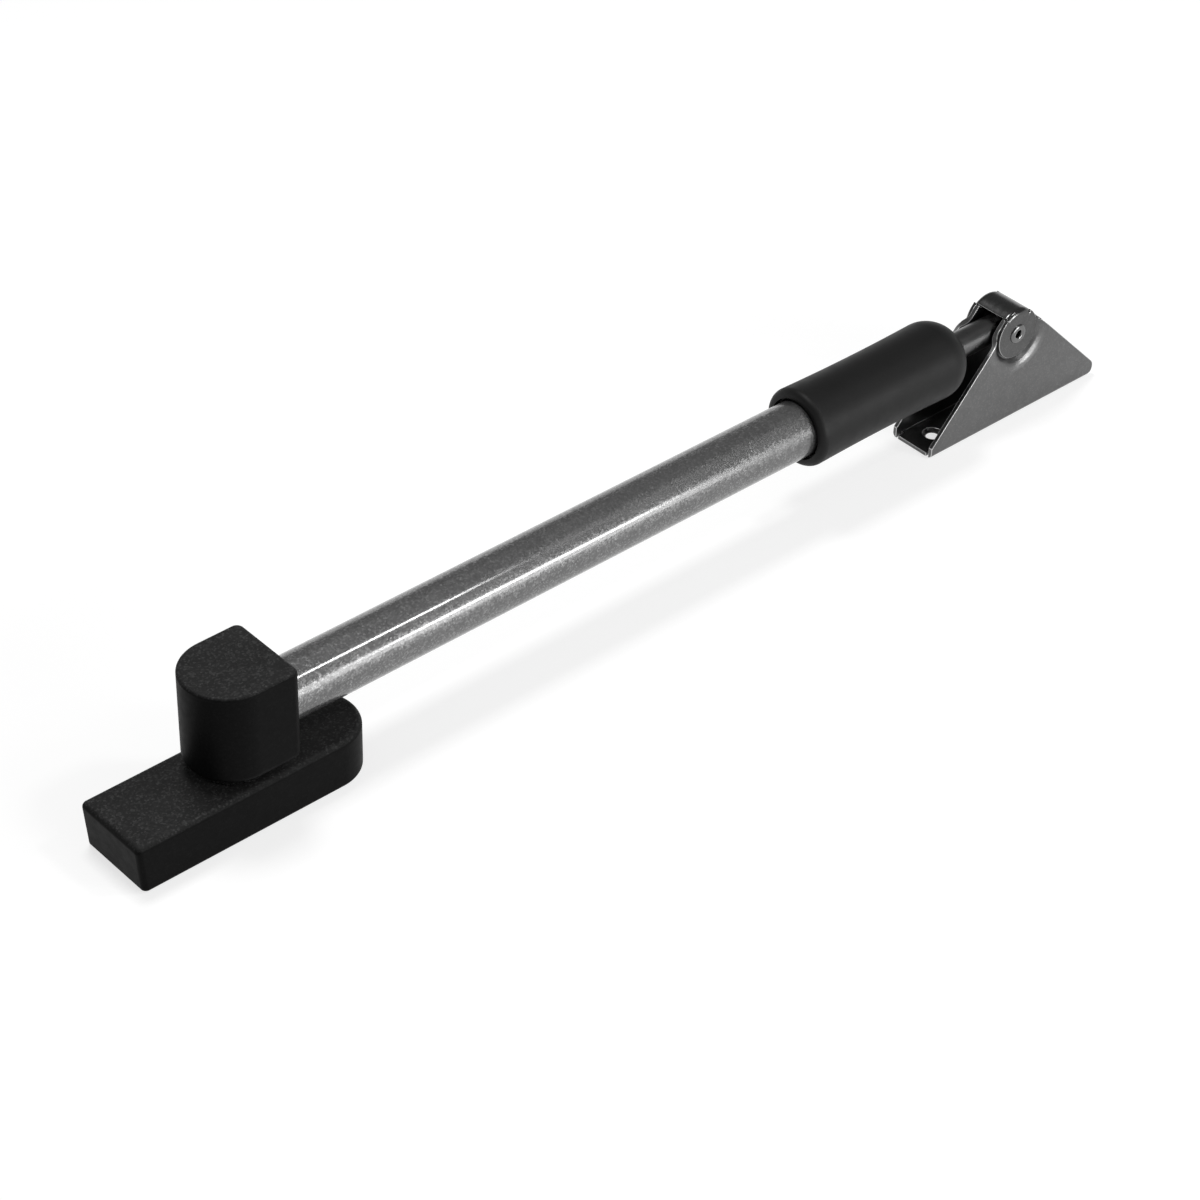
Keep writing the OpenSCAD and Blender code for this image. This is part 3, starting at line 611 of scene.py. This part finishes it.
@dataclass
class Assembly:
    """Pieces that ride on one body.

    Attributes:
        body: Name of the body.
        merge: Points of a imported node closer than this, in metres, are one.
        flat_deg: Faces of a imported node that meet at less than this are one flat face.
        sharp_deg: Edges that turn by more than this are eased.
        fold_deg: Faces that meet at more than this are folded over each other.
        berth: Room that the easing leaves round a fold, in widths of the eased edge.
    """

    body: str
    merge: float = 1e-6
    flat_deg: float = 0.3
    sharp_deg: float = 28.0
    fold_deg: float = 100.0
    berth: float = 1.5

    def dress(self, node: str, finish: Finish) -> None:
        """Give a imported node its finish.

        Args:
            node: The node's name.
            finish: Its finish.
        """
        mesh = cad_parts[node].data
        mesh.materials.clear()
        mesh.materials.append(finish.material())
        log.info("dressed %s in %s", node, finish.name)

    def stand_in(self, mesh: Mesh, node: str) -> None:
        """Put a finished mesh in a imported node's place.

        Args:
            mesh: The mesh, which gives the piece its name.
            node: The node that it stands for.
        """
        piece = add_object(mesh.name, mesh)
        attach(piece, self.body)
        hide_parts(node)
        log.info("built %s of %d faces", mesh.name, len(mesh.polygons))

    def ease(self, node: str, finish: Finish, edge_mm: float, segments: int = 2) -> None:
        """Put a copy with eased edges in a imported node's place.

        Args:
            node: The node's name.
            finish: Its finish.
            edge_mm: Width of the eased edges.
            segments: Number of faces across an eased edge.
        """
        form = bmesh.new()
        form.from_mesh(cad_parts[node].data)
        bmesh.ops.remove_doubles(form, verts=form.verts, dist=self.merge)
        bmesh.ops.dissolve_limit(form, angle_limit=math.radians(self.flat_deg), verts=form.verts,
                                 edges=form.edges)
        trial = form.copy()
        folds = self._bevel(trial, edge_mm * MM, segments, [])
        trial.free()
        self._bevel(form, edge_mm * MM, segments, folds)
        eased = bpy.data.meshes.new(node + "_form")
        form.to_mesh(eased)
        form.free()
        eased.shade_smooth()
        for _ in ("faces", "edges"):
            eased.materials.append(finish.material())
        holder = add_object(node + "_form", eased)
        holder.modifiers.new("shading", "WEIGHTED_NORMAL")
        mesh = settle(holder)
        wear_and_highlight_mask = mesh.attributes.new(EDGE_WEAR_AND_HIGHLIGHT, "FLOAT", "FACE")
        for polygon in mesh.polygons:
            wear_and_highlight_mask.data[polygon.index].value = polygon.material_index
            polygon.material_index = 0
        mesh.materials.pop()
        mesh.name = node + "_eased"
        self.stand_in(mesh, node)

    def _bevel(self, form: bmesh.types.BMesh, width: float, segments: int,
               folds: list[Vector]) -> list[Vector]:
        """Bevel the sharp edges, apart from those near a place where a bevel would fold over.

        Args:
            form: The mesh, whose new faces get the material index 1.
            width: Width of the bevel.
            segments: Number of faces across it.
            folds: Places to stay away from.

        Returns:
            Both ends of each edge at which the result folds over.
        """
        tree = KDTree(len(folds))
        for index, fold in enumerate(folds):
            tree.insert(fold, index)
        tree.balance()
        sharp = math.radians(self.sharp_deg)
        clear = [edge for edge in form.edges
                 if edge.calc_face_angle(0) > sharp and not self._near(edge, tree, width)]
        bmesh.ops.bevel(form, geom=clear, offset=width, offset_type="OFFSET", segments=segments,
                        profile=0.5, affect="EDGES", clamp_overlap=False, material=1,
                        miter_outer="ARC", loop_slide=True)
        fold = math.radians(self.fold_deg)
        folded = (edge for edge in form.edges if edge.calc_face_angle(0) > fold)
        return [vert.co.copy() for edge in folded for vert in edge.verts]

    def _near(self, edge: bmesh.types.BMEdge, tree: KDTree, width: float) -> bool:
        """Tell whether an edge passes too close to a fold to be eased.

        Args:
            edge: The edge.
            tree: The folds.
            width: Width of the bevel.

        Returns:
            True if a fold is too close.
        """
        reach = width * self.berth
        start, end = (vert.co for vert in edge.verts)
        line = end - start
        for fold, _, _ in tree.find_range((start + end) / 2, line.length / 2 + reach):
            share = (fold - start).dot(line) / max(line.length_squared, TINY)
            if (start + line * min(max(share, 0), 1) - fold).length < reach:
                return True
        return False


@dataclass
class Foot(Assembly):
    """Moulded foot with its inserts, its bush and the washer under the block.

    Attributes:
        edge_mm: Width of the moulded edges.
        edge_faces: Number of faces across such an edge.
        washer_edge_mm: Width of the washer's edges.
        insert_x_mm: Distance of each insert from the pivot.
        insert_h_mm: Length of an insert.
        insert_r_mm: Outer radius of an insert.
        insert_bore_mm: Radius over the crests of its thread.
        insert_sides: Number of faces round an insert.
        chamfer_mm: Chamfer at its ends.
        mouth_mm: How far its bore flares at both ends.
        groove: Ends of the groove between its two outer bands, as shares of its length.
        groove_mm: Depth of that groove.
        pitch_mm: Pitch of its thread.
        thread_mm: Depth of its thread.
        thread_rows: Number of rows that draw the thread.
    """

    body: str = "foot"
    edge_mm: float = 0.9
    edge_faces: int = 5
    washer_edge_mm: float = 0.15
    insert_x_mm: float = 26.0
    insert_h_mm: float = 8.0
    insert_r_mm: float = 3.5
    insert_bore_mm: float = 2.1
    insert_sides: int = 48
    chamfer_mm: float = 0.3
    mouth_mm: float = 0.4
    groove: tuple[float, float] = (0.35, 0.6)
    groove_mm: float = 0.4
    pitch_mm: float = 0.8
    thread_mm: float = 0.4
    thread_rows: int = 80

    def build(self) -> None:
        """Build the foot's pieces."""
        self.ease("base_housing", MOULDED_NYLON, self.edge_mm, self.edge_faces)
        self.ease("thrust_washer", BLACK_ACETAL, self.washer_edge_mm)
        self.dress("base_bush", NATURAL_NYLON)
        self.inserts()

    def _insert_outline(self) -> list[Row]:
        """Lay out an insert, from its threaded bore to its two outer bands.

        Returns:
            The rows of its closed outline.
        """
        r, bore, height, chamfer = (
            self.insert_r_mm, self.insert_bore_mm, self.insert_h_mm, self.chamfer_mm)
        low, high = (height * share for share in self.groove)
        length = height - 2 * chamfer
        thread = [(chamfer + length * i / self.thread_rows, bore, 1.0)
                  for i in range(self.thread_rows + 1)]
        outside = [(height, r - chamfer), (height - chamfer, r), (high, r),
                   (high, r - self.groove_mm), (low, r - self.groove_mm), (low, r),
                   (chamfer, r), (0.0, r - chamfer)]
        mouth = bore + self.mouth_mm
        return ([(0.0, mouth, 0.0)] + thread + [(height, mouth, 0.0)]
                + [(place, radius, 0.0) for place, radius in outside])

    def inserts(self) -> None:
        """Turn the two threaded inserts."""
        both = bmesh.new()
        for side in (-1, 1):
            turning = Turning((side * self.insert_x_mm * MM, 0.0, 0.0), (0.0, -90.0, 0.0),
                              self.insert_sides, self.pitch_mm, self.thread_mm)
            both.from_mesh(turning.mesh("threaded_inserts_turned", self._insert_outline(),
                                        TURNED_BRASS))
        mesh = bpy.data.meshes.new("threaded_inserts_pair")
        both.to_mesh(mesh)
        both.free()
        mesh.materials.append(TURNED_BRASS.material())
        mesh.set_sharp_from_angle(angle=math.radians(SMOOTH_DEG))
        self.stand_in(mesh, "threaded_inserts")


@dataclass
class Arm(Assembly):
    """Swivel block with the tube, and what holds them on the foot.

    Attributes:
        edge_mm: Width of the block's moulded edges.
        edge_faces: Number of faces across such an edge.
    """

    body: str = "arm"
    edge_mm: float = 0.8
    edge_faces: int = 4

    def build(self) -> None:
        """Build the arm's pieces."""
        self.ease("swivel_block", MOULDED_NYLON, self.edge_mm, self.edge_faces)
        self.dress("outer_tube", TUBE_PAINT)
        self.dress("pivot_screw", SCREW_ZINC)
        self.dress("disc_spring", SPRING_STEEL)
        self.dress("tube_plug", TURNED_ALUMINIUM)
        self.dress("collet_bush", NATURAL_NYLON)


@dataclass
class Grip(Assembly):
    """Twist grip: a rubber sleeve over a hard core.

    Attributes:
        start_mm: Place of the grip's mouth along the tube.
        tip_mm: Place that the dome would reach without the rod.
        radius_mm: Radius at both ends of the waist.
        waist_mm: How far the waist is drawn in.
        waist_rows: Number of rows along the waist.
        lip_mm: Radius of the lip at the mouth.
        lip_rows: Number of rows round the lip.
        dome_mm: Radius of the dome at the nose.
        dome_rows: Number of rows round the dome.
        mouth_mm: Radius of the mouth round the tube.
        rod_hole_mm: Radius of the hole for the rod.
        core_mm: Radius of the core, which the sleeve is moulded on.
        core_nose_mm: Radius of the core's small end.
        core_end_mm: How far the core stops short of the tip.
        core_taper_mm: How far before the dome the core starts to narrow.
    """

    body: str = "grip"
    start_mm: float = 185.6
    tip_mm: float = 245.8
    radius_mm: float = 11.2
    waist_mm: float = 0.35
    waist_rows: int = 24
    lip_mm: float = 2.0
    lip_rows: int = 12
    dome_mm: float = 9.5
    dome_rows: int = 28
    mouth_mm: float = 8.8
    rod_hole_mm: float = 4.4
    core_mm: float = 9.35
    core_nose_mm: float = 6.4
    core_end_mm: float = 3.8
    core_taper_mm: float = 1.2

    def build(self) -> None:
        """Build the grip's pieces."""
        self.sleeve()
        self.dress("clamp_core", CORE_NYLON)
        self.dress("rod_wiper", GRIP_RUBBER)

    def sleeve(self) -> None:
        """Turn the sleeve: a lip, a waist that follows a parabola, and a dome up to the rod."""
        lip, dome = self.start_mm + self.lip_mm, self.tip_mm - self.dome_mm
        nose = math.acos((self.rod_hole_mm - self.radius_mm + self.dome_mm) / self.dome_mm)
        waist = []
        for i in range(1, self.waist_rows):
            along, off = lip + (dome - lip) * i / self.waist_rows, 2 * i / self.waist_rows - 1
            waist.append((along, self.radius_mm - self.waist_mm * (1 - off * off), 0.0))
        outside = arc(lip, self.radius_mm - self.lip_mm, self.lip_mm, -90, 0, self.lip_rows)
        outside += waist
        outside += arc(dome, self.radius_mm - self.dome_mm, self.dome_mm, 0, math.degrees(nose),
                       self.dome_rows)
        core_end, taper = self.tip_mm - self.core_end_mm, dome - self.core_taper_mm
        inside = [(core_end, self.rod_hole_mm), (core_end, self.core_nose_mm),
                  (taper, self.core_mm), (lip, self.core_mm), (lip, self.mouth_mm),
                  (self.start_mm, self.mouth_mm)]
        outline = outside + [(place, radius, 0.0) for place, radius in inside]
        turning = Turning((0.0, 0.0, AXIS_HEIGHT_MM * MM))
        self.stand_in(turning.mesh("grip_sleeve_moulded", outline, GRIP_RUBBER), "grip_sleeve")


@dataclass
class Guide(Assembly):
    """Guide on the rod's inner end."""

    body: str = "guide"

    def build(self) -> None:
        """Dress the guide."""
        self.dress("guide_bush", NATURAL_NYLON)


@dataclass
class Rod(Assembly):
    """Steel rod with its flat eye and the clips of its guide.

    Attributes:
        edge_mm: Width of the broken edges.
    """

    body: str = "rod"
    edge_mm: float = 0.15

    def build(self) -> None:
        """Build the rod's pieces."""
        self.ease("inner_rod", GROUND_STEEL, self.edge_mm)
        self.dress("guide_clips", SPRING_STEEL)


@dataclass
class Bracket(Assembly):
    """Folded bracket, the saddle over it, and the rivet through both.

    Attributes:
        edge_mm: Width of the sheared edges.
        spacer_edge_mm: Width of the black washers' edges.
        rivet_mm: Radius of the rivet's shank.
        rivet_sides: Number of faces round the rivet.
        bore_mm: Radius of its bore.
        rim_mm: Outer radius of its rolled rims.
        rim_h_mm: How far a rim stands out.
        rim_rows: Number of rows round a rim.
        ear_mm: Distance from the middle to the face of an ear.
    """

    body: str = "bracket"
    edge_mm: float = 0.16
    spacer_edge_mm: float = 0.1
    rivet_mm: float = 2.0
    rivet_sides: int = 64
    bore_mm: float = 1.1
    rim_mm: float = 2.9
    rim_h_mm: float = 0.6
    rim_rows: int = 20
    ear_mm: float = 6.5

    def build(self) -> None:
        """Build the bracket's pieces."""
        self.ease("hinge_bracket", ZINC_SHEET, self.edge_mm)
        self.ease("tie_saddle", ZINC_STRIP, self.edge_mm)
        self.ease("pivot_spacers", BLACK_ACETAL, self.spacer_edge_mm)
        self.rivet()

    def _rim(self, side: int) -> list[Row]:
        """Lay out a rolled rim, which is half an ellipse over the ear.

        Args:
            side: -1 for the near rim, 1 for the far one.

        Returns:
            The rim's rows, from its bore outwards on the near side and back on the far side.
        """
        crest, half = (self.rim_mm + self.bore_mm) / 2, (self.rim_mm - self.bore_mm) / 2
        rows = []
        for i in range(self.rim_rows + 1):
            angle = math.pi * i / self.rim_rows
            rows.append((side * (self.ear_mm + self.rim_h_mm * math.sin(angle)),
                         crest - half * math.cos(angle), 0.0))
        return rows if side < 0 else rows[::-1]

    def rivet(self) -> None:
        """Turn the hollow rivet with its two rolled rims."""
        shank = [(-self.ear_mm, self.rivet_mm, 0.0), (self.ear_mm, self.rivet_mm, 0.0)]
        turning = Turning((PIN_X_MM * MM, 0.0, AXIS_HEIGHT_MM * MM), (0.0, 0.0, 90.0),
                          self.rivet_sides)
        mesh = turning.mesh("hinge_rivet_rolled", self._rim(-1) + shank + self._rim(1),
                            BRIGHT_ZINC)
        self.stand_in(mesh, "hinge_rivet")


@dataclass
class Studio:
    """Camera, floor and lights. The camera was found from the tube's edges and the foot's corners.

    Attributes:
        image_px: Side of the square photograph.
        focal_px: Focal length in its pixels.
        origin_px: Pixel in which the part's origin lies.
        distance: Distance from the camera to the plane of the origin.
        azimuth_deg: Turn of the camera round Z, from looking along Y.
        elevation_deg: Height of the camera over the horizon.
        roll_deg: Turn of the camera round its line of sight.
        sensor_mm: Width of the camera's sensor.
        clip: Distance from which the camera sees.
        centre: Middle of the stay, which the lights face.
        tube_mm: Radius of the tube, which mirrors the two strips.
        floor_colour: Colour of the paper on the floor.
        floor_reach: Half the floor's side.
        floor_drop: How far the floor lies below the stay.
        floor_lift: Brightness that the seen floor adds, beside the stay and far off.
        lift_from: Distances from the stay between which that brightness rises.
        room_light: Brightness of the room.
        horizon: Upward part of a direction at which the room starts to show, and shows in full.
        place: Where the camera stands, once it is built.
    """

    image_px: float = 1200.0
    focal_px: float = 3328.384
    origin_px: tuple[float, float] = (235.069, 805.420)
    distance: float = 0.800459
    azimuth_deg: float = -42.780
    elevation_deg: float = 37.859
    roll_deg: float = 1.845
    sensor_mm: float = 36.0
    clip: float = 0.01
    centre: Point = (0.13, 0.0, 0.03)
    tube_mm: float = 8.0
    floor_colour: str = "#a2a2a2"
    floor_reach: float = 60.0
    floor_drop: float = 0.00005
    floor_lift: tuple[float, float] = (0.7, 1.0)
    lift_from: tuple[float, float] = (0.5, 1.5)
    room_light: float = 0.24
    horizon: tuple[float, float] = (0.18, 0.24)
    place: Point = (0.0, 0.0, 0.0)

    def camera(self) -> None:
        """Place the camera where the photograph was taken from."""
        azimuth = math.radians(self.azimuth_deg)
        elevation = math.radians(self.elevation_deg)
        roll = math.radians(self.roll_deg)
        back = Vector((math.sin(azimuth) * math.cos(elevation),
                       -math.cos(azimuth) * math.cos(elevation), math.sin(elevation)))
        level = (-back).cross(Vector((0, 0, 1))).normalized()
        down = (-back).cross(level)
        right = level * math.cos(roll) - down * math.sin(roll)
        drop = level * math.sin(roll) + down * math.cos(roll)
        shift = [(pixel - self.image_px / 2) / self.focal_px * self.distance
                 for pixel in self.origin_px]
        place = back * self.distance - right * shift[0] - drop * shift[1]
        self.place = tuple(place)
        data = bpy.data.cameras.new("photo_camera")
        data.sensor_width = self.sensor_mm
        data.lens = self.focal_px / self.image_px * self.sensor_mm
        data.clip_start = self.clip
        camera = add_object("photo_camera", data)
        camera.matrix_world = standing(place, right, -drop, back)
        bpy.context.scene.camera = camera

    def _seen(self, tree: NodeTree) -> Node:
        """Tell what the camera sees, itself or in metal and glass, from what only lights the stay.

        Args:
            tree: The tree of the floor or the world.

        Returns:
            A node that gives 1 for what is seen.
        """
        path = add_node(tree, "ShaderNodeLightPath").outputs
        seen = add_node(tree, "ShaderNodeMath", {
            0: path["Is Camera Ray"], 1: path["Is Glossy Ray"]}, operation="MAXIMUM")
        return add_node(tree, "ShaderNodeMath", {0: seen, 1: path["Is Transmission Ray"]},
                        operation="MAXIMUM")

    def floor(self) -> None:
        """Lay a pale floor that shows white, and that keeps the stay's shadow."""
        material = bpy.data.materials.new("white_paper_floor")
        tree = bare_tree(material)
        paper = add_node(tree, "ShaderNodeBsdfDiffuse", {"Color": linear(self.floor_colour)})
        spot = add_node(tree, "ShaderNodeTexCoord").outputs["Object"]
        off = add_node(tree, "ShaderNodeVectorMath", {0: spot, 1: self.centre},
                       operation="DISTANCE")
        lift = add_node(tree, "ShaderNodeMapRange", {
            "Value": off.outputs["Value"], "From Min": self.lift_from[0],
            "From Max": self.lift_from[1], "To Min": self.floor_lift[0],
            "To Max": self.floor_lift[1]}, interpolation_type="SMOOTHSTEP")
        strength = add_node(tree, "ShaderNodeMath", {0: self._seen(tree), 1: lift},
                            operation="MULTIPLY")
        glow = add_node(tree, "ShaderNodeEmission", {
            "Color": linear(WHITE), "Strength": strength})
        both = add_node(tree, "ShaderNodeAddShader", {0: paper, 1: glow})
        add_node(tree, "ShaderNodeOutputMaterial", {"Surface": both})
        mesh = bpy.data.meshes.new("studio_floor")
        corners = [(x * self.floor_reach, y * self.floor_reach, 0)
                   for x, y in ((-1, -1), (1, -1), (1, 1), (-1, 1))]
        mesh.from_pydata(corners, [], [(0, 1, 2, 3)])
        mesh.materials.append(material)
        floor = add_object("studio_floor", mesh)
        floor.location.z = CAD_BOX[0][2] - self.floor_drop

    def room(self) -> None:
        """Set a dim room, in which the floor's white goes on a little above the horizon."""
        world = bpy.data.worlds.new("dim_room")
        bpy.context.scene.world = world
        tree = bare_tree(world)
        toward = add_node(tree, "ShaderNodeTexCoord").outputs["Generated"]
        height = add_node(tree, "ShaderNodeSeparateXYZ", {"Vector": toward}).outputs["Z"]
        low = add_node(tree, "ShaderNodeMapRange", {
            "Value": height, "From Min": self.horizon[0], "From Max": self.horizon[1],
            "To Min": 1 - self.room_light, "To Max": 0.0})
        strength = add_node(tree, "ShaderNodeMath", {
            0: self._seen(tree), 1: low, 2: self.room_light}, operation="MULTIPLY_ADD")
        light = add_node(tree, "ShaderNodeBackground", {
            "Color": linear(WHITE), "Strength": strength})
        add_node(tree, "ShaderNodeOutputWorld", {"Surface": light})

    def _hang(self, name: str, place: Vector, target: Vector, side: Vector,
              size: tuple[float, float], radiance: float) -> None:
        """Hang a rectangular light.

        Args:
            name: Name of the light.
            place: Middle of the light.
            target: Point that it faces.
            side: Direction of its long side.
            size: Length along that side, and height.
            radiance: Brightness of its face, where 1 shows as white.
        """
        data = bpy.data.lights.new(name, "AREA")
        data.shape = "RECTANGLE"
        data.size, data.size_y = size
        data.energy = radiance * math.pi * size[0] * size[1]
        away = (place - target).normalized()
        along = (side - away * side.dot(away)).normalized()
        add_object(name, data).matrix_world = standing(place, along, away.cross(along), away)

    def softbox(self, name: str, towards: Point, reach: float, size: tuple[float, float],
                radiance: float) -> None:
        """Hang a softbox that faces the middle of the stay, with its long side level.

        Args:
            name: Name of the light.
            towards: Direction from the stay to the light.
            reach: Distance of the light.
            size: Width and height of the light.
            radiance: Brightness of its face.
        """
        target, direction = Vector(self.centre), Vector(towards).normalized()
        level = Vector((0, 0, 1)).cross(direction)
        self._hang(name, target + direction * reach, target, level, size, radiance)

    def strip(self, name: str, stretch_mm: tuple[float, float], round_deg: float, reach: float,
              height: float, radiance: float) -> None:
        """Hang a strip light where the tube shows it to the camera along a stretch of its length.

        Args:
            name: Name of the light.
            stretch_mm: Start and end of the stretch.
            round_deg: Place round the tube, from its top towards the camera.
            reach: Distance of the light from the tube.
            height: Height of the light.
            radiance: Brightness of its face.
        """
        angle = math.radians(round_deg)
        normal = Vector((0, -math.sin(angle), math.cos(angle)))
        ends, spots = [], []
        for x in stretch_mm:
            spot = Vector((x, 0, AXIS_HEIGHT_MM)) * MM + normal * self.tube_mm * MM
            view = (Vector(self.place) - spot).normalized()
            spots.append(spot)
            ends.append(spot + (normal * 2 * normal.dot(view) - view) * reach)
        side = ends[1] - ends[0]
        self._hang(name, (ends[0] + ends[1]) / 2, (spots[0] + spots[1]) / 2, side,
                   (side.length, height), radiance)

    def lights(self) -> None:
        """Light the stay as in the photograph, with boxes in front and above and two strips."""
        self.softbox("front_box", towards=(0.22, -0.95, 0.19), reach=1.1, size=(0.95, 0.42),
                     radiance=6.0)
        self.softbox("top_box", towards=(-0.05, 0.25, 0.97), reach=1.0, size=(0.32, 0.25),
                     radiance=20.0)
        self.strip("high_strip", stretch_mm=(8, 68), round_deg=36.5, reach=0.9, height=0.085,
                   radiance=42.0)
        self.strip("low_strip", stretch_mm=(40, 125), round_deg=58.5, reach=0.9, height=0.1,
                   radiance=26.0)

    def build(self) -> None:
        """Build the studio and set how its picture is shown."""
        self.camera()
        self.floor()
        self.room()
        self.lights()
        bpy.context.scene.view_settings.view_transform = "Standard"
        log.info("studio built")


def main() -> None:
    """Build the studio and every sub-assembly."""
    logging.basicConfig(level=logging.INFO, format="%(name)s: %(message)s")
    for part in (Studio(), Foot(), Arm(), Grip(), Guide(), Rod(), Bracket()):
        part.build()


if __name__ == "__main__":
    main()
